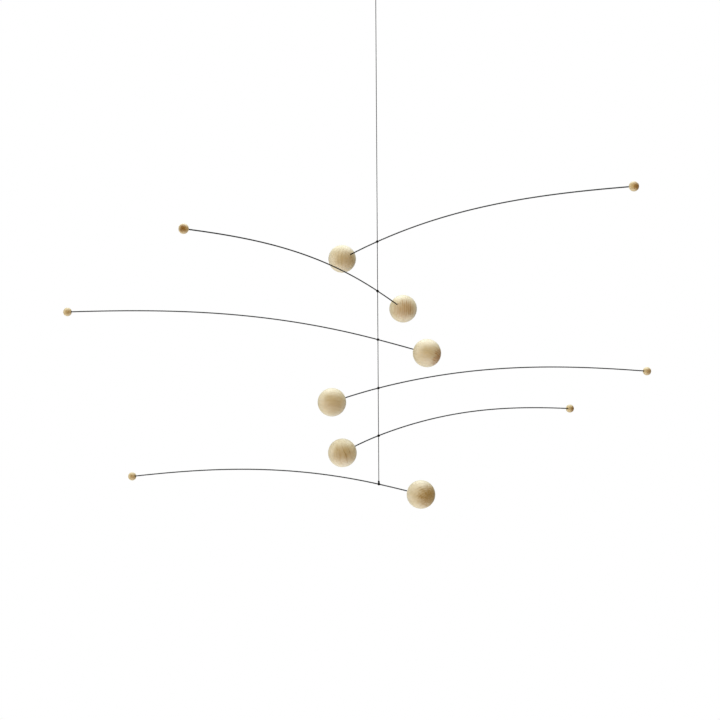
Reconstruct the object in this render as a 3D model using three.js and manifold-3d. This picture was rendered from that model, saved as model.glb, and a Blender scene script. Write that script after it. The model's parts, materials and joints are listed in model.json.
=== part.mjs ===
// Hanging mobile: six bowed wire arms, tied one below the other to a single thread. Each arm
// carries a large wooden ball on its short, low side and a small one on its long, raised side.
//
// Millimetres, +Z up, +X to the right and +Y away, seen from the front. The origin is the point
// where a hook bears inside the thread's hanging loop: everything else hangs below it.

import * as THREE from 'three';
import { mergeVertices } from 'three/addons/utils/BufferGeometryUtils.js';
import Module from 'manifold-3d';

// Stock the mobile is made from.
const THREAD_DIAMETER = 0.75;
const WIRE_DIAMETER = 1.25;
const LARGE_BALL_DIAMETER = 29;
const SMALL_BALL_DIAMETER = 9.3;

// The free space left between two pieces that touch in the real object.
const GAP = 0.3;

// One arm: the distance between its two balls, the blind bores that take the wire's ends, and how
// much of the bow eases out towards the small ball, where the wire runs nearly straight.
const ARM_SPAN = 412;
const LONG_SIDE = 355;
const BOW_EASE = 0.1325;
const LARGE_BORE_DEPTH = 10;
const SMALL_BORE_DEPTH = 5;

// The hanging loop and the depth of the first tie below the origin.
const LOOP_HEIGHT = 24;
const LOOP_HALF_WIDTH = 6;
const LOOP_LEG_ANGLE = 0.42;
const FIRST_TIE_DEPTH = 285;

// A tie is a few turns of thread laid side by side round the wire.
const TIE_WALL = 0.6;
const TIE_WIDTH = 2;

// The knot under the loop and the wrapped knot at the thread's lower end stand upright.
const KNOT_DIAMETER = 2.2;
const LOOP_KNOT_HEIGHT = 3.4;
const END_KNOT_HEIGHT = 2.4;
const END_KNOT_FOOT = 1.1;

// The six arms, from the top down. drop: the tie's depth below the first tie. heading: where the
// long side points, in degrees anticlockwise from +X seen from above. pitch: the wire's slope at
// the tie, in degrees, rising towards the small ball. shortSide: from the tie to the middle of
// the large ball. bow: how far the wire falls away from its slope over the long side. stubBow:
// the same measure of the short side's bend, which differs a little from arm to arm.
const ARMS = [
  { drop: 0, heading: -49.4, pitch: 14.0, shortSide: 58.4, bow: 61.1, stubBow: 58 },
  { drop: 51, heading: 240.5, pitch: 16.7, shortSide: 57.7, bow: 66.0, stubBow: 28 },
  { drop: 101, heading: 159.2, pitch: 14.5, shortSide: 55.2, bow: 66.0, stubBow: 20 },
  { drop: 151, heading: 32.6, pitch: 11.5, shortSide: 57.9, bow: 66.2, stubBow: 82 },
  { drop: 200, heading: 51.0, pitch: 12.0, shortSide: 60.7, bow: 63.0, stubBow: 104 },
  { drop: 250, heading: 140.4, pitch: 8.2, shortSide: 55.7, bow: 61.3, stubBow: 33 },
];

// Facets.
const CORD_SIDES = 8;
const WIRE_SIDES = 8;
const WIRE_STEPS = 26;
const LOOP_STEPS = 48;
const LARGE_BALL_FACETS = { sides: 24, rings: 12 };
const SMALL_BALL_FACETS = { sides: 14, rings: 7 };
const KNOT_SIDES = 12;

const UP = new THREE.Vector3(0, 1, 0);
const threadRadius = THREAD_DIAMETER / 2;
const wireRadius = WIRE_DIAMETER / 2;
const boreRadius = wireRadius + GAP;
const tieRadius = boreRadius + TIE_WALL;

const wasm = await Module();
wasm.setup();

// Finishes.

function blackSteel() {
  return new THREE.MeshStandardMaterial({ color: 0x191817, roughness: 0.42, metalness: 0.6 });
}

function blackThread() {
  return new THREE.MeshStandardMaterial({ color: 0x1b1a1a, roughness: 0.85, metalness: 0 });
}

function paleWood() {
  return new THREE.MeshStandardMaterial({ color: 0xd8bd92, roughness: 0.6, metalness: 0 });
}

function tanWood() {
  return new THREE.MeshStandardMaterial({ color: 0xcda66f, roughness: 0.6, metalness: 0 });
}

function namedMesh(name, geometry, material) {
  const mesh = new THREE.Mesh(geometry, material);
  mesh.name = name;
  return mesh;
}

// Lines that wire and thread follow.

// How far an arm's wire lies below its slope at the tie, at distance x from the tie. Both sides
// leave the tie along the slope, so the wire runs on smoothly through it.
function bowDepth(x, { bow, stubBow }) {
  const u = x / LONG_SIDE;
  return (x < 0 ? stubBow : bow) * (u ** 2 - BOW_EASE * u ** 4);
}

// The middle line of an arm's wire in the arm's own frame: x runs along the slope at the tie.
class BowedLine extends THREE.Curve {
  constructor(bends, from, to) {
    super();
    this.bends = bends;
    this.from = from;
    this.to = to;
  }

  at(x, target = new THREE.Vector3()) {
    return target.set(x, 0, -bowDepth(x, this.bends));
  }

  getPoint(t, target = new THREE.Vector3()) {
    return this.at(THREE.MathUtils.lerp(this.from, this.to, t), target);
  }
}

// The loop of thread is a teardrop: round under the hook, its two legs meeting at the knot.
class TeardropLine extends THREE.Curve {
  getPoint(t, target = new THREE.Vector3()) {
    const angle = THREE.MathUtils.lerp(LOOP_LEG_ANGLE, 2 * Math.PI - LOOP_LEG_ANGLE, t);
    const x = -LOOP_HALF_WIDTH * Math.sin(angle) * Math.sin(angle / 2);
    const z = threadRadius - (LOOP_HEIGHT / 2) * (1 + Math.cos(angle));
    return target.set(x, 0, z);
  }
}

// Solids.

function roundSection(radius, sides) {
  const corners = Array.from({ length: sides }, (_, i) => {
    const angle = (2 * Math.PI * i) / sides;
    return new THREE.Vector2(radius * Math.cos(angle), radius * Math.sin(angle));
  });
  return new THREE.Shape(corners);
}

function rod(line, radius, sides, steps) {
  return new THREE.ExtrudeGeometry(roundSection(radius, sides), { steps, extrudePath: line });
}

// A turned ball with a blind bore that opens towards +Y: one outline revolved about the bore.
function drilledBall(radius, boreDepth, { sides, rings }) {
  const rimAngle = Math.acos(boreRadius / radius);
  const outline = [new THREE.Vector2(0, -radius)];
  for (let ring = 1; ring <= rings; ring += 1) {
    const angle = THREE.MathUtils.lerp(-Math.PI / 2, rimAngle, ring / rings);
    outline.push(new THREE.Vector2(radius * Math.cos(angle), radius * Math.sin(angle)));
  }
  outline.push(new THREE.Vector2(boreRadius, radius - boreDepth));
  outline.push(new THREE.Vector2(0, radius - boreDepth));
  return new THREE.LatheGeometry(outline, sides);
}

// Turns of thread round the wire, which runs along X: a sleeve with rounded shoulders.
function tieSleeve() {
  const half = TIE_WIDTH / 2;
  const shoulder = half - TIE_WALL / 2;
  const outline = [
    new THREE.Vector2(boreRadius, -half),
    new THREE.Vector2(tieRadius, -shoulder),
    new THREE.Vector2(tieRadius, shoulder),
    new THREE.Vector2(boreRadius, half),
    new THREE.Vector2(boreRadius, -half),
  ];
  return new THREE.LatheGeometry(outline, KNOT_SIDES).rotateZ(Math.PI / 2);
}

// A knot drawn up tight into a small barrel, upright, with its foot at height zero.
function barrelKnot(height) {
  const radius = KNOT_DIAMETER / 2;
  const outline = [
    new THREE.Vector2(0, 0),
    new THREE.Vector2(radius * 0.7, 0),
    new THREE.Vector2(radius, height * 0.2),
    new THREE.Vector2(radius, height * 0.8),
    new THREE.Vector2(radius * 0.6, height),
    new THREE.Vector2(0, height),
  ];
  return new THREE.LatheGeometry(outline, KNOT_SIDES).rotateX(Math.PI / 2);
}

function toSolid(geometry) {
  const bare = geometry.clone();
  bare.deleteAttribute('normal');
  bare.deleteAttribute('uv');
  const merged = mergeVertices(bare);
  return new wasm.Manifold(new wasm.Mesh({
    numProp: 3,
    vertProperties: Float32Array.from(merged.attributes.position.array),
    triVerts: Uint32Array.from(merged.index.array),
  }));
}

function toGeometry(solid) {
  const { vertProperties, triVerts } = solid.getMesh();
  const geometry = new THREE.BufferGeometry();
  geometry.setAttribute('position', new THREE.BufferAttribute(vertProperties, 3));
  geometry.setIndex(new THREE.BufferAttribute(triVerts, 1));
  geometry.computeVertexNormals();
  return geometry;
}

// Sub-parts.

// The thread's loop and the knot that closes it. The legs stop just above the knot.
function hangingLoop() {
  return namedMesh(
    'hanging_loop',
    rod(new TeardropLine(), threadRadius, CORD_SIDES, LOOP_STEPS),
    blackThread(),
  );
}

function loopKnot(top) {
  const mesh = namedMesh('loop_knot', barrelKnot(LOOP_KNOT_HEIGHT), blackThread());
  mesh.position.z = top - LOOP_KNOT_HEIGHT;
  return mesh;
}

// A straight fall of thread between two knots.
function threadFall(name, top, bottom) {
  const line = new THREE.LineCurve3(new THREE.Vector3(0, 0, top), new THREE.Vector3(0, 0, bottom));
  return namedMesh(name, rod(line, threadRadius, CORD_SIDES, 1), blackThread());
}

// A ball pushed on to a wire's end: its bore faces along the wire, towards the tie.
function ballOnWire(name, geometry, material, centre, towardsTie) {
  const mesh = namedMesh(name, geometry, material);
  mesh.position.copy(centre);
  mesh.quaternion.setFromUnitVectors(UP, towardsTie);
  return mesh;
}

// The thread's lower end: a sleeve of turns round the wire, and the wrapped barrel on top of it.
function endKnot(name, pitch) {
  const sleeve = tieSleeve().rotateY(-pitch);
  const barrel = barrelKnot(END_KNOT_HEIGHT).translate(0, 0, END_KNOT_FOOT);
  const joined = toSolid(sleeve).add(toSolid(barrel));
  return namedMesh(name, toGeometry(joined), blackThread());
}

// One arm, with its tie at the group's origin and its long side along +X.
function arm(number, { pitch, shortSide, bow, stubBow }, isLowest) {
  const prefix = `arm_${number}`;
  const slope = THREE.MathUtils.degToRad(pitch);
  const largeRadius = LARGE_BALL_DIAMETER / 2;
  const smallRadius = SMALL_BALL_DIAMETER / 2;
  const longSide = ARM_SPAN - shortSide;
  const bends = { bow, stubBow };

  const wholeLine = new BowedLine(bends, -shortSide, longSide);
  const largeCentre = wholeLine.getPoint(0);
  const smallCentre = wholeLine.getPoint(1);
  const fromLarge = wholeLine.getTangent(0);
  const fromSmall = wholeLine.getTangent(1).negate();

  const largeInset = (largeRadius - LARGE_BORE_DEPTH + GAP) * fromLarge.x;
  const smallInset = (smallRadius - SMALL_BORE_DEPTH + GAP) * fromSmall.x;
  const wireLine = new BowedLine(bends, -shortSide + largeInset, longSide + smallInset);

  const sloped = new THREE.Group();
  sloped.rotation.y = -slope;
  sloped.add(
    namedMesh(`${prefix}_wire`, rod(wireLine, wireRadius, WIRE_SIDES, WIRE_STEPS), blackSteel()),
    ballOnWire(
      `${prefix}_large_ball`,
      drilledBall(largeRadius, LARGE_BORE_DEPTH, LARGE_BALL_FACETS),
      paleWood(),
      largeCentre,
      fromLarge,
    ),
    ballOnWire(
      `${prefix}_small_ball`,
      drilledBall(smallRadius, SMALL_BORE_DEPTH, SMALL_BALL_FACETS),
      tanWood(),
      smallCentre,
      fromSmall,
    ),
  );

  const group = new THREE.Group();
  group.add(sloped);
  if (isLowest) {
    group.add(endKnot(`${prefix}_end_knot`, slope));
  } else {
    sloped.add(namedMesh(`${prefix}_tie`, tieSleeve(), blackThread()));
  }
  return group;
}

// The mobile, from the loop down.

function mobile() {
  const whole = new THREE.Group();
  const legEnd = new TeardropLine().getPoint(0).z;
  const knotTop = legEnd - GAP - threadRadius;
  whole.add(hangingLoop(), loopKnot(knotTop));

  const tieReach = tieRadius + GAP;
  const endKnotReach = END_KNOT_FOOT + END_KNOT_HEIGHT + GAP;
  let fallTop = knotTop - LOOP_KNOT_HEIGHT - GAP;
  ARMS.forEach((shape, index) => {
    const number = index + 1;
    const isLowest = number === ARMS.length;
    const tieHeight = -(FIRST_TIE_DEPTH + shape.drop);
    const fallBottom = tieHeight + (isLowest ? endKnotReach : tieReach);
    whole.add(threadFall(`thread_${number}`, fallTop, fallBottom));
    fallTop = tieHeight - tieReach;

    const group = arm(number, shape, isLowest);
    group.position.z = tieHeight;
    group.rotation.z = THREE.MathUtils.degToRad(shape.heading);
    whole.add(group);
  });
  return whole;
}

export default mobile();
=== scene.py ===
"""Hanging mobile: six bowed wires tied to one thread, each with a large and a small wooden ball.

The pieces follow the order in which the mobile is put together: thread, loop and knots, wires,
balls. Lengths are metres, and the origin is where a hook bears in the hanging loop.
"""

import json
import math

import bpy
import numpy as np
from mathutils import Matrix, Vector


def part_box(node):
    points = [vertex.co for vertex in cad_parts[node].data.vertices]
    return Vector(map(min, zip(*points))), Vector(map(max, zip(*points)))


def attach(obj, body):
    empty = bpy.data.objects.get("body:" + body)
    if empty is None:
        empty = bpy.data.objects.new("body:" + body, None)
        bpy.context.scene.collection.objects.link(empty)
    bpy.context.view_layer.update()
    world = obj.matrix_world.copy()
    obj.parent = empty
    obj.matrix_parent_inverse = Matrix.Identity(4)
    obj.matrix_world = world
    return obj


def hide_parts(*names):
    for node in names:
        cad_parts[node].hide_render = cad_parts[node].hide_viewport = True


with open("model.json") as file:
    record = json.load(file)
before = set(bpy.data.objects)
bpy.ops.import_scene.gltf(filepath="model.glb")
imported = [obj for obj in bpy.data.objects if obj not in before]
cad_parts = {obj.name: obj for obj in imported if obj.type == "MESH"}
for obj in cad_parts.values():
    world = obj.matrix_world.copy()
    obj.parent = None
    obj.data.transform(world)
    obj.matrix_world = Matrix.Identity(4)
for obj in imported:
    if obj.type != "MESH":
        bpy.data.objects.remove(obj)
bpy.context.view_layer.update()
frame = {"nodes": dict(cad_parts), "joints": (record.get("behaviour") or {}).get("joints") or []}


# Camera: level and square to the mobile, a little to the left of the thread. It leans by a
# third of a degree, so the thread's lower end drifts to the right down the picture.
VIEW_DISTANCE = 2.3
VIEW_WIDTH = 0.742
VIEW_SIDE = -0.0186
VIEW_HEIGHT = -0.4069
VIEW_LEAN = 0.0064

camera_data = bpy.data.cameras.new("camera")
camera_data.lens = camera_data.sensor_width * VIEW_DISTANCE / VIEW_WIDTH
camera = bpy.data.objects.new("camera", camera_data)
camera.location = (VIEW_SIDE, -VIEW_DISTANCE, VIEW_HEIGHT)
camera.rotation_euler = (math.pi / 2, VIEW_LEAN, 0)
bpy.context.scene.collection.objects.link(camera)
bpy.context.scene.camera = camera


# Thread: one length of black three-ply thread, taut under the weight of the arms. It comes out
# of the knot under the loop, runs straight down through the five hitches that hold the upper
# arms, and ends in the wrapped knot on the lowest wire.
ARM_NUMBERS = range(1, 7)
THREAD_DIAMETER = 0.00075
THREAD_LAY = 0.0036
THREAD_SIDES = 15
CREST_SHARE = 1.18
THREAD_STEP = 0.0003
SHARP_EDGE = math.radians(55)
THREAD_HEIGHTS = (
    -0.0255, -0.070, -0.120, -0.175, -0.230, -0.285, -0.310, -0.336,
    -0.361, -0.386, -0.411, -0.436, -0.460, -0.485, -0.510, -0.5325,
)


def unit(vectors):
    """Each vector divided by its length."""
    return vectors / np.linalg.norm(vectors, axis=-1, keepdims=True)


def distances(path):
    """How far along the path each of its points lies: the running sum of its steps."""
    steps = np.linalg.norm(np.diff(path, axis=0), axis=1)
    return np.concatenate([[0], np.cumsum(steps)])


def carried(path, beside, radii, turns_per_metre=0.0):
    """Rings of a section carried along a path, as stations by sides by three.

    Side j of a ring stands at its radius from the path, at j equal steps round from the beside
    direction, in the plane square to the path, and the whole section turns steadily with length.
    """
    along = unit(np.gradient(path, axis=0))
    beside = np.broadcast_to(np.asarray(beside, float), path.shape)
    side = unit(beside - (beside * along).sum(1, keepdims=True) * along)
    across = np.cross(along, side)
    step = np.arange(len(radii)) / len(radii)
    angle = 2 * math.pi * (step[None, :] + turns_per_metre * distances(path)[:, None])
    reach = radii[None, :, None]
    return path[:, None] + reach * (
        np.cos(angle)[..., None] * side[:, None] + np.sin(angle)[..., None] * across[:, None]
    )


def skin(name, rings, material, tips=None):
    """A closed mesh over rings: a quad between each two neighbours on two rings, and a fan at
    each end to its tip, which is the end ring's middle unless tips gives the two points.

    The UV map holds the length along the rings in metres and the share of a turn round them.
    """
    count, sides, _ = rings.shape
    if tips is None:
        tips = (rings[0].mean(0), rings[-1].mean(0))
    points = np.concatenate([rings.reshape(-1, 3), np.array(tips, float)])

    i, j = np.meshgrid(np.arange(count - 1), np.arange(sides), indexing="ij")
    here, beyond = i * sides, (i + 1) * sides
    after = (j + 1) % sides
    quads = np.stack([here + j, here + after, beyond + after, beyond + j], -1).reshape(-1, 4)
    side = np.arange(sides)
    first = np.stack([np.full(sides, count * sides), (side + 1) % sides, side], -1)
    last_ring = (count - 1) * sides
    last = np.stack(
        [np.full(sides, count * sides + 1), last_ring + side, last_ring + (side + 1) % sides], -1
    )

    length = distances(rings.mean(1))
    quad_uv = np.stack(
        [length[np.stack([i, i, i + 1, i + 1], -1)], np.stack([j, j + 1, j + 1, j], -1) / sides],
        -1,
    ).reshape(-1, 2)
    fan_uv = np.stack([np.stack([side + 0.5, side + 1, side], -1) / sides] * 2, -1)
    first_uv, last_uv = fan_uv.reshape(-1, 2).copy(), fan_uv.reshape(-1, 2).copy()
    first_uv[:, 0], last_uv[:, 0] = length[0], length[-1]

    mesh = bpy.data.meshes.new(name)
    mesh.from_pydata(points.tolist(), [], quads.tolist() + first.tolist() + last.tolist())
    layer = mesh.uv_layers.new(name="along")
    layer.data.foreach_set("uv", np.concatenate([quad_uv, first_uv, last_uv]).ravel())
    mesh.shade_smooth()
    mesh.set_sharp_from_angle(angle=SHARP_EDGE)
    mesh.materials.append(material)
    piece = bpy.data.objects.new(name, mesh)
    bpy.context.scene.collection.objects.link(piece)
    return piece


def three_ply():
    """Radii round three plies laid together: the far side of the ply that each angle meets.

    Each ply is a circle that touches the other two, so its radius is 0.464 of the crests', and
    the crests stand a little proud of the thread's mean thickness.
    """
    crest = CREST_SHARE * THREAD_DIAMETER / 2
    ply = crest / (1 + 2 / math.sqrt(3))
    offset = crest - ply
    third = 2 * math.pi / 3
    angle = np.arange(THREAD_SIDES) * 2 * math.pi / THREAD_SIDES
    off_crest = (angle + third / 2) % third - third / 2
    inside = np.maximum(ply**2 - (offset * np.sin(off_crest)) ** 2, 0)
    return offset * np.cos(off_crest) + np.sqrt(inside)


def black_thread_material():
    """Dull black thread: fibres run with the plies and catch a little light."""
    material = bpy.data.materials.new("black thread")
    material.use_nodes = True
    nodes, links = material.node_tree.nodes, material.node_tree.links
    shader = nodes["Principled BSDF"]
    shader.inputs["Roughness"].default_value = 0.85
    shader.inputs["Specular IOR Level"].default_value = 0.1
    shader.inputs["Sheen Weight"].default_value = 0.02
    along = nodes.new("ShaderNodeUVMap")
    along.uv_map = "along"
    stretch = nodes.new("ShaderNodeMapping")
    stretch.inputs["Scale"].default_value = (900, 24, 1)
    fibres = nodes.new("ShaderNodeTexNoise")
    fibres.inputs["Scale"].default_value = 1
    fibres.inputs["Detail"].default_value = 3
    shades = nodes.new("ShaderNodeValToRGB")
    shades.color_ramp.elements[0].position = 0.3
    shades.color_ramp.elements[0].color = (0.004, 0.004, 0.0045, 1)
    shades.color_ramp.elements[1].position = 0.75
    shades.color_ramp.elements[1].color = (0.016, 0.015, 0.015, 1)
    relief = nodes.new("ShaderNodeBump")
    relief.inputs["Strength"].default_value = 0.5
    relief.inputs["Distance"].default_value = 0.00004
    links.new(along.outputs["UV"], stretch.inputs["Vector"])
    links.new(stretch.outputs["Vector"], fibres.inputs["Vector"])
    links.new(fibres.outputs["Fac"], shades.inputs["Fac"])
    links.new(shades.outputs["Color"], shader.inputs["Base Color"])
    links.new(fibres.outputs["Fac"], relief.inputs["Height"])
    links.new(relief.outputs["Normal"], shader.inputs["Normal"])
    return material


def laid_thread(name, path, beside):
    """The thread's twisted section carried along a path."""
    rings = carried(path, beside, three_ply(), 1 / THREAD_LAY)
    piece = skin(name, rings, black_thread)
    return piece


black_thread = black_thread_material()
thread_top, thread_foot = THREAD_HEIGHTS[0], THREAD_HEIGHTS[-1]
thread_length = thread_top - thread_foot
thread_route = np.array([(0, 0, height) for height in THREAD_HEIGHTS])
stations = round(thread_length / THREAD_STEP) + 1
thread_line = np.zeros((stations, 3))
thread_line[:, 2] = np.interp(
    np.linspace(0, thread_length, stations), distances(thread_route), thread_route[:, 2]
)
thread = laid_thread("thread", thread_line, (1, 0, 0))
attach(thread, "suspension")
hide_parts(*[f"thread_{number}" for number in ARM_NUMBERS])


# Hanging loop: the thread's upper end turned back on itself and knotted, for a hook or a pin.
# The loop is a teardrop, round where the hook bears, with both legs gathered in the knot.
LOOP_HEIGHT = 0.024
LOOP_HALF_WIDTH = 0.006
LOOP_LEG_ANGLE = 0.42
LOOP_LEG_TUCK = 0.0018
LOOP_LEG_CLOSING = 0.8
LOOP_LEG_STATIONS = 12
LOOP_STATIONS = 240


def teardrop(angle):
    """Points of the loop: its height swings once from the knot up to the hook and back, and its
    width is the sine of the angle times the sine of half of it, which closes the foot."""
    across = -LOOP_HALF_WIDTH * np.sin(angle) * np.sin(angle / 2)
    height = THREAD_DIAMETER / 2 - LOOP_HEIGHT / 2 * (1 + np.cos(angle))
    return np.stack([across, np.zeros_like(angle), height], -1)


def tucked(end):
    """A leg's last stretch, from its end straight down into the knot while it closes a little."""
    share = np.linspace(0, 1, LOOP_LEG_STATIONS)[1:, None]
    return end + share * (end * (LOOP_LEG_CLOSING - 1, 0, 0) - (0, 0, LOOP_LEG_TUCK))


loop_arc = teardrop(np.linspace(LOOP_LEG_ANGLE, 2 * math.pi - LOOP_LEG_ANGLE, LOOP_STATIONS))
loop_line = np.concatenate([tucked(loop_arc[0])[::-1], loop_arc, tucked(loop_arc[-1])])
hanging_loop = laid_thread("thread_loop", loop_line, (0, 1, 0))
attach(hanging_loop, "suspension")
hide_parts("hanging_loop")


# Knot under the loop: turns of the thread drawn up tight round both legs of the loop, so it is
# a small upright barrel. Its height and place are those of the solid that it replaces.
BARREL_TURN_RADIUS = 0.00072
BARREL_END_SHARE = 0.86
BARREL_PITCH = 0.95 * THREAD_DIAMETER
BARREL_STEPS_PER_TURN = 26


def barrel_turns(foot, height):
    """A helix round the thread's line: the height rises by the pitch, a little under the thread's
    thickness, for each turn, and the radius grows from its share at both ends to the full one
    half way up, as the root of the sine of the share of the height."""
    rise = height - THREAD_DIAMETER
    turns = rise / BARREL_PITCH
    share = np.linspace(0, 1, round(turns * BARREL_STEPS_PER_TURN) + 1)
    angle = 2 * math.pi * turns * share
    fullness = np.sin(math.pi * share) ** 0.5
    radius = BARREL_TURN_RADIUS * (BARREL_END_SHARE + (1 - BARREL_END_SHARE) * fullness)
    level = foot + THREAD_DIAMETER / 2 + rise * share
    return np.stack([radius * np.cos(angle), radius * np.sin(angle), level], -1)


knot_low, knot_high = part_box("loop_knot")
loop_knot_line = barrel_turns(knot_low.z, knot_high.z - knot_low.z)
loop_knot = laid_thread("thread_loop_knot", loop_knot_line, (0, 0, 1))
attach(loop_knot, "suspension")
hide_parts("loop_knot")


# The arms' lines: where the thread holds each wire, which way it points and how it bows, read
# back from the wire's own solid, so that everything on an arm follows the CAD.
SIDE_LENGTH = 0.355
LONG_SIDE_POWERS = (2, 3, 4, 5, 6)
SHORT_SIDE_POWERS = (2, 3)
SLOPE_REACH = 0.0001
OUTER_SHARE = 0.96


def corners_of(node):
    """All corners of a CAD node's mesh."""
    vertices = frame["nodes"][node].data.vertices
    flat = np.empty(len(vertices) * 3, np.float32)
    vertices.foreach_get("co", flat)
    return flat.reshape(-1, 3).astype(float)


def ball_of(node):
    """Middle and radius of the sphere through a CAD ball's outer corners: the least-squares
    answer to square of corner = 2 corner . middle + constant, so it ignores the bore."""
    corners = corners_of(node)
    rough = (corners.min(0) + corners.max(0)) / 2
    away = np.linalg.norm(corners - rough, axis=1)
    outer = corners[away > OUTER_SHARE * away.max()]
    terms = np.column_stack([2 * outer, np.ones(len(outer))])
    answer = np.linalg.lstsq(terms, (outer**2).sum(1), rcond=None)[0]
    middle = answer[:3]
    return middle, math.sqrt(answer[3] + middle @ middle)


def bends(distance):
    """Terms of a wire's height over its tie: the level distance, then powers of it that act on
    the long side alone and on the short side alone, so the line runs on smoothly at the tie."""
    share = np.asarray(distance, float) / SIDE_LENGTH
    long_side, short_side = np.maximum(share, 0), np.minimum(share, 0)
    terms = [share]
    terms += [long_side**power for power in LONG_SIDE_POWERS]
    terms += [short_side**power for power in SHORT_SIDE_POWERS]
    return np.stack(terms, -1)


class Arm:
    """One arm: the number, the tie's place, the level heading towards the small ball, the two
    balls' middles and radii, and the weights of the wire's bends, fitted to its solid."""

    def __init__(self, number, joint):
        self.number = number
        self.body = f"arm_{number}"
        self.tie = np.array(joint["pos_m"], float)
        self.large, self.large_radius = ball_of(f"{self.body}_large_ball")
        self.small, self.small_radius = ball_of(f"{self.body}_small_ball")
        level = (self.small - self.large) * (1, 1, 0)
        self.heading = unit(level)
        self.beside = np.cross((0, 0, 1), self.heading)
        rod = corners_of(f"{self.body}_wire") - self.tie
        self.weights = np.linalg.lstsq(bends(rod @ self.heading), rod[:, 2], rcond=None)[0]

    def reach(self, point):
        """Level distance of a point from the tie, along the heading."""
        return float((point - self.tie) @ self.heading)

    def at(self, distance):
        """Points of the wire's middle line at level distances from the tie."""
        distance = np.asarray(distance, float)
        height = bends(distance) @ self.weights
        return (
            self.tie
            + np.multiply.outer(distance, self.heading)
            + np.multiply.outer(height, (0, 0, 1))
        )

    def direction(self, distance):
        """The wire's direction towards the small ball at a level distance from the tie."""
        return unit(self.at(distance + SLOPE_REACH) - self.at(distance - SLOPE_REACH))


arms = [
    Arm(number, next(joint for joint in frame["joints"] if joint["child"] == f"arm_{number}"))
    for number in ARM_NUMBERS
]


# Hitches: the thread is passed round each of the five upper wires in tight turns that lie side
# by side, which jam on the wire a short way from its large ball.
WIRE_DIAMETER = 0.00125
HITCH_TURNS = 2.5
HITCH_PITCH = 0.00066
HITCH_STEPS_PER_TURN = 30
HITCH_SNUG = 0.00006


def wrapped(arm, turns, pitch, radius):
    """A helix round the wire at the tie, from above: share of a turn gives the angle from
    straight up, pitch the way along the wire, both about the tie; turns and radius are arrays."""
    along = arm.direction(0)
    up = np.cross(along, arm.beside)
    angle = 2 * math.pi * turns
    return (
        arm.tie
        + np.multiply.outer(pitch, along)
        + (radius * np.cos(angle))[:, None] * up
        - (radius * np.sin(angle))[:, None] * arm.beside
    )


def turns_round(arm, count):
    """A number of side-by-side turns round an arm's wire, half of them to each side of the tie."""
    turns = np.linspace(0, count, round(count * HITCH_STEPS_PER_TURN) + 1)
    way = (turns - count / 2) * HITCH_PITCH
    radius = np.full_like(turns, (WIRE_DIAMETER + THREAD_DIAMETER) / 2 - HITCH_SNUG)
    return wrapped(arm, turns, way, radius)


for arm in arms[:-1]:
    hitch = laid_thread(f"{arm.body}_hitch", turns_round(arm, HITCH_TURNS), arm.direction(0))
    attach(hitch, arm.body)
    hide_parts(f"{arm.body}_tie")


# End knot: the thread's lower end goes twice round the lowest wire and is then wrapped up its
# own standing part, so it shows as a short upright bar that stands on the wire.
END_WRAP_TURNS = 2
END_KNOT_CLEAR = 0.00095

lowest = arms[-1]
knot_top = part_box("arm_6_end_knot")[1].z
barrel_foot = lowest.tie[2] + END_KNOT_CLEAR
barrel_line = barrel_turns(barrel_foot, knot_top - barrel_foot)
end_barrel = laid_thread("thread_end_knot", barrel_line, (0, 0, 1))
end_wrap = laid_thread(
    "thread_end_wrap", turns_round(lowest, END_WRAP_TURNS), lowest.direction(0)
)
for piece in (end_barrel, end_wrap):
    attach(piece, lowest.body)
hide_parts("arm_6_end_knot")


# Wires: hard-drawn spring wire with a satin black finish, bent to a long even bow. Each end is
# glued into a ball's bore, and the thread carries it near the large one. The wire is made 1.25
# mm thick like its solid, which is probably a little more than the real one.
WIRE_SIDES = 20
WIRE_STATIONS = 260
LARGE_SEAT = 0.0048
SMALL_SEAT = 0.0002


def black_wire_material():
    """Satin black steel, with faint drawing lines along the wire and slightly uneven gloss."""
    material = bpy.data.materials.new("black wire")
    material.use_nodes = True
    nodes, links = material.node_tree.nodes, material.node_tree.links
    shader = nodes["Principled BSDF"]
    shader.inputs["Specular IOR Level"].default_value = 0.12
    along = nodes.new("ShaderNodeUVMap")
    along.uv_map = "along"
    stretch = nodes.new("ShaderNodeMapping")
    stretch.inputs["Scale"].default_value = (60, 30, 1)
    lines = nodes.new("ShaderNodeTexNoise")
    lines.inputs["Scale"].default_value = 1
    lines.inputs["Detail"].default_value = 4
    shades = nodes.new("ShaderNodeValToRGB")
    shades.color_ramp.elements[0].position = 0.25
    shades.color_ramp.elements[0].color = (0.005, 0.005, 0.005, 1)
    shades.color_ramp.elements[1].position = 0.8
    shades.color_ramp.elements[1].color = (0.016, 0.015, 0.014, 1)
    gloss = nodes.new("ShaderNodeMapRange")
    gloss.inputs["To Min"].default_value = 0.34
    gloss.inputs["To Max"].default_value = 0.52
    relief = nodes.new("ShaderNodeBump")
    relief.inputs["Strength"].default_value = 0.3
    relief.inputs["Distance"].default_value = 0.00001
    links.new(along.outputs["UV"], stretch.inputs["Vector"])
    links.new(stretch.outputs["Vector"], lines.inputs["Vector"])
    links.new(lines.outputs["Fac"], shades.inputs["Fac"])
    links.new(shades.outputs["Color"], shader.inputs["Base Color"])
    links.new(lines.outputs["Fac"], gloss.inputs["Value"])
    links.new(gloss.outputs["Result"], shader.inputs["Roughness"])
    links.new(lines.outputs["Fac"], relief.inputs["Height"])
    links.new(relief.outputs["Normal"], shader.inputs["Normal"])
    return material


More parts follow.
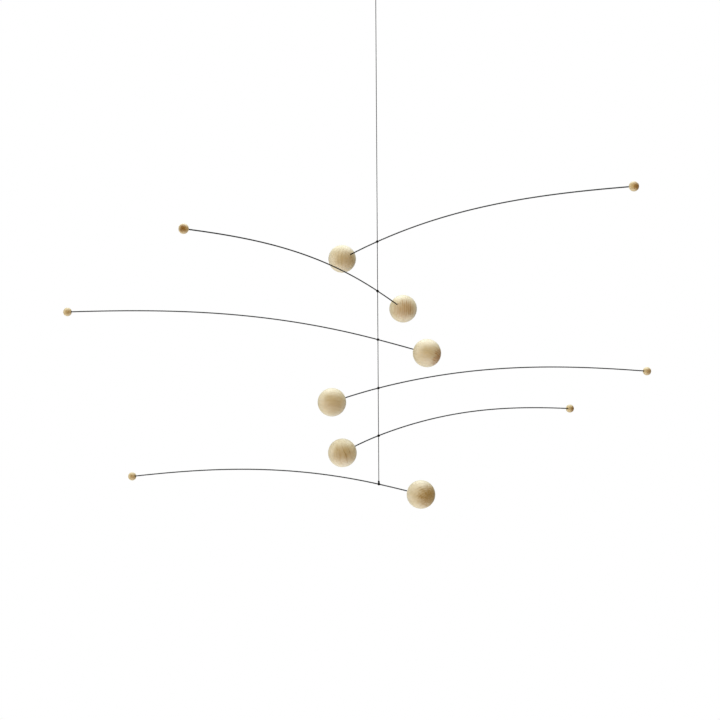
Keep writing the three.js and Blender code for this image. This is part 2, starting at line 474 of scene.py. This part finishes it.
black_wire = black_wire_material()
round_wire = np.full(WIRE_SIDES, WIRE_DIAMETER / 2)
for arm in arms:
    large_reach, small_reach = arm.reach(arm.large), arm.reach(arm.small)
    from_reach = large_reach + LARGE_SEAT * arm.direction(large_reach) @ arm.heading
    to_reach = small_reach - SMALL_SEAT * arm.direction(small_reach) @ arm.heading
    wire_line = arm.at(np.linspace(from_reach, to_reach, WIRE_STATIONS))
    wire = skin(f"{arm.body}_bowed_wire", carried(wire_line, arm.beside, round_wire), black_wire)
    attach(wire, arm.body)
    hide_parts(f"{arm.body}_wire")


# Balls: turned from pale hardwood, sanded and left under a thin matt oil, each cut at its own
# angle to the grain. A blind bore takes the wire's end, with its mouth just broken by the drill.
BORE_RADIUS = 0.00067
BORE_LIP = 0.0002
LARGE_BORE_END = 0.0045
SMALL_BORE_END = -0.00035
LIP_STATIONS = 4
SEAM_WAY = (0.3, 0.2, 1)
LARGE_FACETS = (96, 72)
SMALL_FACETS = (64, 44)


def turned_ball(name, middle, radius, towards_wire, bore_end, facets, material):
    """A profile revolved about the bore: the sphere's arc from the pole behind, a quarter round
    at the bore's mouth, the bore's wall, and its flat end at bore_end from the middle."""
    sides, steps = facets
    mouth = math.asin((BORE_RADIUS + BORE_LIP) / radius)
    polar = np.linspace(math.pi * (1 - 0.5 / steps), mouth, steps)
    lip_height = radius * math.cos(mouth) - BORE_LIP
    lip = np.linspace(math.pi / 8, math.pi / 2, LIP_STATIONS)
    outward = np.concatenate([
        radius * np.sin(polar),
        BORE_RADIUS + BORE_LIP * (1 - np.sin(lip)),
        [BORE_RADIUS, BORE_RADIUS],
    ])
    forward = np.concatenate([
        radius * np.cos(polar),
        lip_height + BORE_LIP * np.cos(lip),
        [0.5 * (lip_height + bore_end), bore_end],
    ])
    axis = unit(np.asarray(towards_wire, float))
    side = unit(np.cross(axis, SEAM_WAY))
    across = np.cross(axis, side)
    angle = np.arange(sides) * 2 * math.pi / sides
    spoke = np.cos(angle)[:, None] * side + np.sin(angle)[:, None] * across
    rings = middle + outward[:, None, None] * spoke + forward[:, None, None] * axis
    tips = (middle - radius * axis, middle + bore_end * axis)
    return skin(name, rings, material, tips)


def grain_turn(fibre, pith_way):
    """Euler angles of a frame whose Z runs along the fibres and whose X points to the pith."""
    z = unit(np.array(fibre, float))
    x = np.array(pith_way, float)
    x = unit(x - (x @ z) * z)
    return Matrix(np.column_stack([x, np.cross(z, x), z]).tolist()).to_euler()


# Scales of the wood's noise across and along the fibres, per metre, in the grain's frame.
CLOUD_SCALE = (120, 120, 60)
STREAK_SCALE = (800, 800, 60)
FIBRE_SCALE = (3000, 3000, 190)
FRAY_SCALE = (400, 400, 60)

# A wave texture repeats at this distance when its scale is one, and a ring side or a heart
# fades in over this much of the cosine that measures it.
WAVE_PERIOD = math.pi / 10
EDGE_WIDTH = 0.5


def wood_material(name, middle, radius, tints, cut):
    """Pale hardwood at a ball's scale, placed and turned by how the ball was cut from the plank.

    Growth rings are cylinders about the pith that end in a thin late-wood line, and show most on
    the side that ring_way points to. Streaks and fibres are noise drawn out along the wood. The
    heart is a cap of darker wood round the way given for it, frayed and streaked along the fibres.
    It is partly a real dark streak, as at the lower right of ball 3, and partly painted shade: on
    the other balls it faces the front and lower right, where the wood lies in shade, and darkens
    and warms the wood there.
    """
    pale, tan = tints
    material = bpy.data.materials.new(name)
    material.use_nodes = True
    nodes, links = material.node_tree.nodes, material.node_tree.links
    shader = nodes["Principled BSDF"]
    shader.inputs["Specular IOR Level"].default_value = 0.5
    shader.inputs["Sheen Weight"].default_value = 0.15
    shader.inputs["Sheen Roughness"].default_value = 0.4

    def add(kind, **sockets):
        node = nodes.new(kind)
        for socket, value in sockets.items():
            node.inputs[socket.replace("_", " ")].default_value = value
        return node

    def spread(source, over, to):
        """The source's values over one range carried to the other, and held at its ends."""
        node = add(
            "ShaderNodeMapRange", From_Min=over[0], From_Max=over[1], To_Min=to[0], To_Max=to[1]
        )
        links.new(source, node.inputs["Value"])
        return node.outputs["Result"]

    def times(first, second):
        """The product of two values."""
        node = nodes.new("ShaderNodeMath")
        node.operation = "MULTIPLY"
        links.new(first, node.inputs[0])
        links.new(second, node.inputs[1])
        return node.outputs["Value"]

    def blended(share, below, above):
        """One colour or the other, by share."""
        node = nodes.new("ShaderNodeMix")
        node.data_type = "RGBA"
        links.new(share, node.inputs["Factor"])
        for socket, value in (("A", below), ("B", above)):
            if isinstance(value, tuple):
                node.inputs[socket].default_value = (*value, 1)
            else:
                links.new(value, node.inputs[socket])
        return node.outputs["Result"]

    def drawn_noise(scale, detail):
        """Noise in the grain's frame, where Z is the way of the fibres."""
        stretch = add("ShaderNodeMapping", Scale=scale)
        links.new(grain.outputs["Vector"], stretch.inputs["Vector"])
        noise = add("ShaderNodeTexNoise", Scale=1, Detail=detail, Roughness=0.6)
        links.new(stretch.outputs["Vector"], noise.inputs["Vector"])
        return noise.outputs["Fac"]

    def towards(way):
        """Cosine of the angle between a way and the line from the ball's middle, plus a fray."""
        facing = nodes.new("ShaderNodeVectorMath")
        facing.operation = "DOT_PRODUCT"
        facing.inputs[1].default_value = tuple(unit(np.array(way, float)))
        links.new(from_middle.outputs["Vector"], facing.inputs[0])
        frayed = nodes.new("ShaderNodeMath")
        frayed.operation = "ADD"
        links.new(facing.outputs["Value"], frayed.inputs[0])
        links.new(fray, frayed.inputs[1])
        return frayed.outputs["Value"]

    place = nodes.new("ShaderNodeTexCoord")
    from_middle = add("ShaderNodeMapping", Location=tuple(middle), Scale=(radius, radius, radius))
    from_middle.vector_type = "TEXTURE"
    links.new(place.outputs["Object"], from_middle.inputs["Vector"])
    turn = grain_turn(cut["fibre"], cut["pith_way"])
    grain = add("ShaderNodeMapping", Location=tuple(middle), Rotation=turn)
    grain.vector_type = "TEXTURE"
    links.new(place.outputs["Object"], grain.inputs["Vector"])

    cloud = drawn_noise(CLOUD_SCALE, detail=2)
    streaks = drawn_noise(STREAK_SCALE, detail=3)
    fibres = drawn_noise(FIBRE_SCALE, detail=3)
    fray = spread(drawn_noise(FRAY_SCALE, detail=2), over=(0.3, 0.7), to=(-0.12, 0.12))

    from_pith = add("ShaderNodeMapping", Location=(-cut["pith_distance"], 0, 0))
    links.new(grain.outputs["Vector"], from_pith.inputs["Vector"])
    rings = add(
        "ShaderNodeTexWave",
        Scale=WAVE_PERIOD / cut["ring_gap"],
        Distortion=cut["ring_wander"],
        Detail=2,
        Detail_Scale=0.4,
        Detail_Roughness=0.5,
        Phase_Offset=cut["ring_phase"],
    )
    rings.wave_type = "RINGS"
    rings.rings_direction = "Z"
    rings.wave_profile = "SAW"
    links.new(from_pith.outputs["Vector"], rings.inputs["Vector"])
    late = spread(
        rings.outputs["Fac"], over=(cut["early_wood"], 1), to=(0, cut["ring_strength"])
    )
    ring_fade = (cut["ring_edge"], cut["ring_edge"] + EDGE_WIDTH)
    ring_side = spread(towards(cut["ring_way"]), over=ring_fade, to=(0.1, 1))
    uneven = spread(cloud, over=(0.42, 0.58), to=(0.3, 1))

    # Heart cap: painted shade on the front and lower right of most balls, a real dark streak on
    # ball 3, streaked along the fibres.
    heartwood_and_shade_fade = (cut["heartwood_and_shade_edge"], cut["heartwood_and_shade_edge"] + EDGE_WIDTH)
    heartwood_and_shade_share = spread(
        towards(cut["heartwood_and_shade_way"]), over=heartwood_and_shade_fade, to=(0, cut["heartwood_and_shade_strength"])
    )
    heartwood_and_shade_streaks = spread(streaks, over=(0.35, 0.6), to=(0.6, 1))

    tone = blended(spread(cloud, over=(0.35, 0.65), to=(0, 1)), pale, tan)
    ringed = blended(times(times(late, ring_side), uneven), tone, cut["line_tint"])
    with_heartwood_and_shade = blended(times(heartwood_and_shade_share, heartwood_and_shade_streaks), ringed, cut["heartwood_and_shade_tint"])
    shaded = nodes.new("ShaderNodeVectorMath")
    shaded.operation = "SCALE"
    links.new(with_heartwood_and_shade, shaded.inputs["Vector"])
    fine_streaks = spread(streaks, over=(0.3, 0.7), to=(0.95, 1.04))
    fine_fibres = spread(fibres, over=(0.3, 0.7), to=(0.95, 1.04))
    links.new(times(fine_streaks, fine_fibres), shaded.inputs["Scale"])
    links.new(shaded.outputs["Vector"], shader.inputs["Base Color"])

    roughness = spread(fibres, over=(0.3, 0.7), to=(0.46, 0.56))
    links.new(roughness, shader.inputs["Roughness"])
    relief = add("ShaderNodeBump", Strength=0.25, Distance=0.00002)
    links.new(fibres, relief.inputs["Height"])
    links.new(relief.outputs["Normal"], shader.inputs["Normal"])
    return material


PALE_TINTS = ((0.66, 0.545, 0.385), (0.58, 0.465, 0.29))
BROWN = (0.26, 0.14, 0.045)
RED_BROWN = (0.34, 0.155, 0.035)
# The golden brown below is painted shade: the heart caps of balls 1, 4, 5 and 6 put it on the
# front and lower right, where the wood lies in shade. Ball 3's red-brown heart cap is a real dark
# streak at its lower right edge.
PAINTED_SHADE_GOLD = (0.33, 0.19, 0.04)
LARGE_CUTS = (
    dict(fibre=(0.04, 0, 1), pith_way=(-1, 0.2, 0), pith_distance=0.040, ring_gap=0.0030,
         ring_phase=0.6, ring_wander=1.5, early_wood=0.60, ring_strength=0.4,
         ring_way=(0.3, -1, 0), ring_edge=0.4,
         heartwood_and_shade_way=(0.55, -0.8, -0.25), heartwood_and_shade_edge=0.50, heartwood_and_shade_strength=0.42,
         line_tint=BROWN, heartwood_and_shade_tint=PAINTED_SHADE_GOLD),
    dict(fibre=(0.02, 0.03, 1), pith_way=(-1, -0.8, 0), pith_distance=0.030, ring_gap=0.0022,
         ring_phase=2.0, ring_wander=3.0, early_wood=0.50, ring_strength=1.3,
         ring_way=(0.12, -1, 0), ring_edge=0.55,
         heartwood_and_shade_way=(0.1, -1, -0.1), heartwood_and_shade_edge=0.60, heartwood_and_shade_strength=0.50,
         line_tint=RED_BROWN, heartwood_and_shade_tint=RED_BROWN),
    dict(fibre=(1, 0.1, -0.25), pith_way=(0, 0.15, 1), pith_distance=0.050, ring_gap=0.0021,
         ring_phase=0.0, ring_wander=1.0, early_wood=0.35, ring_strength=1.2,
         ring_way=(0.9, -0.3, -0.35), ring_edge=0.60,
         heartwood_and_shade_way=(0.88, -0.32, -0.36), heartwood_and_shade_edge=0.68, heartwood_and_shade_strength=1.5,
         line_tint=RED_BROWN, heartwood_and_shade_tint=RED_BROWN),
    dict(fibre=(1, 0, 0.05), pith_way=(0, 0.4, 1), pith_distance=0.050, ring_gap=0.0040,
         ring_phase=0.0, ring_wander=1.5, early_wood=0.60, ring_strength=0.15,
         ring_way=(0, -1, 0), ring_edge=0.4,
         heartwood_and_shade_way=(0.0, -1, 0), heartwood_and_shade_edge=0.60, heartwood_and_shade_strength=0.36,
         line_tint=BROWN, heartwood_and_shade_tint=PAINTED_SHADE_GOLD),
    dict(fibre=(-0.14, 0, 1), pith_way=(1, -0.6, 0.1), pith_distance=0.022, ring_gap=0.0052,
         ring_phase=3.5, ring_wander=12.0, early_wood=0.75, ring_strength=1.5,
         ring_way=(0.05, -1, -0.35), ring_edge=0.60,
         heartwood_and_shade_way=(0.0, -1, -0.15), heartwood_and_shade_edge=0.60, heartwood_and_shade_strength=0.62,
         line_tint=BROWN, heartwood_and_shade_tint=PAINTED_SHADE_GOLD),
    dict(fibre=(0.55, -0.9, -0.2), pith_way=(-0.3, 0, -1), pith_distance=0.004, ring_gap=0.0019,
         ring_phase=0.0, ring_wander=1.5, early_wood=0.50, ring_strength=1.0,
         ring_way=(0.35, -0.8, 0.45), ring_edge=0.50,
         heartwood_and_shade_way=(0.75, -0.65, -0.25), heartwood_and_shade_edge=0.36, heartwood_and_shade_strength=0.95,
         line_tint=BROWN, heartwood_and_shade_tint=PAINTED_SHADE_GOLD),
)
TAN_TINTS = ((0.60, 0.46, 0.26), (0.50, 0.36, 0.17))
SMALL_CUT = dict(
    pith_distance=0.02, ring_gap=0.0018, ring_phase=0.0, ring_wander=1.5, early_wood=0.5,
    ring_strength=0.5, ring_edge=0.4, heartwood_and_shade_edge=0.5,
    line_tint=(0.30, 0.16, 0.05), heartwood_and_shade_tint=(0.27, 0.13, 0.02),
)
# The small balls' heart caps all face the front and are painted shade: a darker, deeper tan middle
# where the wood lies in shade. Their rings show on the same side.
SMALL_CUTS = (
    dict(fibre=(0.1, 0, 1), pith_way=(-1, 0, 0), heartwood_and_shade_way=(0.6, -0.8, 0), heartwood_and_shade_strength=1.1),
    dict(fibre=(0.4, 0, 1), pith_way=(0, 1, 0), heartwood_and_shade_way=(-0.05, -1, 0.1), heartwood_and_shade_strength=1.3),
    dict(fibre=(1, 0, 0.2), pith_way=(0, 1, 1), heartwood_and_shade_way=(0.3, -1, 0), heartwood_and_shade_strength=0.35),
    dict(fibre=(1, 0.3, 0), pith_way=(0, 0, 1), heartwood_and_shade_way=(0.4, -1, -0.1), heartwood_and_shade_strength=0.6),
    dict(fibre=(0, 0.2, 1), pith_way=(1, 0, 0), heartwood_and_shade_way=(0.8, -0.6, -0.1), heartwood_and_shade_strength=1.1),
    dict(fibre=(0.3, 0, 1), pith_way=(0, 1, 0), heartwood_and_shade_way=(0.3, -1, 0), heartwood_and_shade_strength=0.6),
)

for arm, cut, small_cut in zip(arms, LARGE_CUTS, SMALL_CUTS):
    large_wood = wood_material(
        f"pale wood {arm.number}", arm.large, arm.large_radius, PALE_TINTS, cut
    )
    large_ball = turned_ball(
        f"{arm.body}_large_wooden_ball", arm.large, arm.large_radius,
        arm.direction(arm.reach(arm.large)), LARGE_BORE_END, LARGE_FACETS, large_wood,
    )
    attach(large_ball, arm.body)
    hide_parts(f"{arm.body}_large_ball")

    small_cut = dict(SMALL_CUT, ring_way=small_cut["heartwood_and_shade_way"], **small_cut)
    small_wood = wood_material(
        f"tan wood {arm.number}", arm.small, arm.small_radius, TAN_TINTS, small_cut
    )
    small_ball = turned_ball(
        f"{arm.body}_small_wooden_ball", arm.small, arm.small_radius,
        -arm.direction(arm.reach(arm.small)), SMALL_BORE_END, SMALL_FACETS, small_wood,
    )
    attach(small_ball, arm.body)
    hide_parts(f"{arm.body}_small_ball")


# Studio: a pale floor well below the mobile and a dim white room, with four large soft lamps.
# The eye sees the room and the floor pale all over, but they throw little light on the wood.
# The floor glows for the eye alone, so its glow isn't sampled as a lamp, which only adds noise.
FLOOR_HEIGHT = -1.6
FLOOR_RADIUS = 4.5
FLOOR_SIDES = 96
FLOOR_PALE = 0.6
ROOM_LIGHT = 0.03

floor_turn = np.linspace(0, 2 * math.pi, FLOOR_SIDES, endpoint=False)
floor_level = np.full_like(floor_turn, FLOOR_HEIGHT)
floor_rim = np.stack(
    [FLOOR_RADIUS * np.cos(floor_turn), FLOOR_RADIUS * np.sin(floor_turn), floor_level], -1
)
floor_mesh = bpy.data.meshes.new("floor")
floor_mesh.from_pydata(floor_rim.tolist(), [], [list(range(len(floor_rim)))])
floor_white = bpy.data.materials.new("floor white")
floor_white.use_nodes = True
floor_shader = floor_white.node_tree.nodes["Principled BSDF"]
floor_shader.inputs["Base Color"].default_value = (0.86, 0.86, 0.86, 1)
floor_shader.inputs["Roughness"].default_value = 0.9
floor_shader.inputs["Emission Color"].default_value = (FLOOR_PALE, FLOOR_PALE, FLOOR_PALE, 1)
floor_eye = floor_white.node_tree.nodes.new("ShaderNodeLightPath")
floor_white.node_tree.links.new(
    floor_eye.outputs["Is Camera Ray"], floor_shader.inputs["Emission Strength"]
)
floor_white.cycles.emission_sampling = "NONE"
floor_mesh.materials.append(floor_white)
floor = bpy.data.objects.new("floor", floor_mesh)
bpy.context.scene.collection.objects.link(floor)

world = bpy.data.worlds.new("studio")
bpy.context.scene.world = world
world.use_nodes = True
room = world.node_tree.nodes["Background"]
room.inputs["Color"].default_value = (1, 1, 1, 1)
room.inputs["Strength"].default_value = ROOM_LIGHT
backdrop = world.node_tree.nodes.new("ShaderNodeBackground")
backdrop.inputs["Color"].default_value = (1, 1, 1, 1)
ray = world.node_tree.nodes.new("ShaderNodeLightPath")
seen = world.node_tree.nodes.new("ShaderNodeMixShader")
world.node_tree.links.new(ray.outputs["Is Camera Ray"], seen.inputs["Fac"])
world.node_tree.links.new(room.outputs["Background"], seen.inputs[1])
world.node_tree.links.new(backdrop.outputs["Background"], seen.inputs[2])
world.node_tree.links.new(
    seen.outputs["Shader"], world.node_tree.nodes["World Output"].inputs["Surface"]
)
bpy.context.scene.view_settings.view_transform = "Standard"


def soft_lamp(name, place, size, power, tint):
    """A square area lamp, turned towards the hung mobile and hidden from the camera."""
    data = bpy.data.lights.new(name, "AREA")
    data.size = size
    data.energy = power
    data.color = tint
    lamp = bpy.data.objects.new(name, data)
    lamp.location = place
    way = Vector((0, 0, VIEW_HEIGHT)) - Vector(place)
    lamp.rotation_euler = way.to_track_quat("-Z", "Y").to_euler()
    lamp.visible_camera = False
    bpy.context.scene.collection.objects.link(lamp)


soft_lamp("overhead", place=(0.12, 0.32, 1.6), size=3.2, power=135, tint=(0.80, 0.93, 1.0))
soft_lamp("left", place=(-2.0, -0.3, -0.35), size=1.6, power=25, tint=(0.96, 1.0, 0.95))
soft_lamp("front", place=(0.3, -2.0, 0.0), size=2.0, power=17, tint=(1.0, 0.64, 0.10))
soft_lamp("low", place=(0.0, -0.08, -1.5), size=1.4, power=9.4, tint=(0.76, 0.83, 1.0))
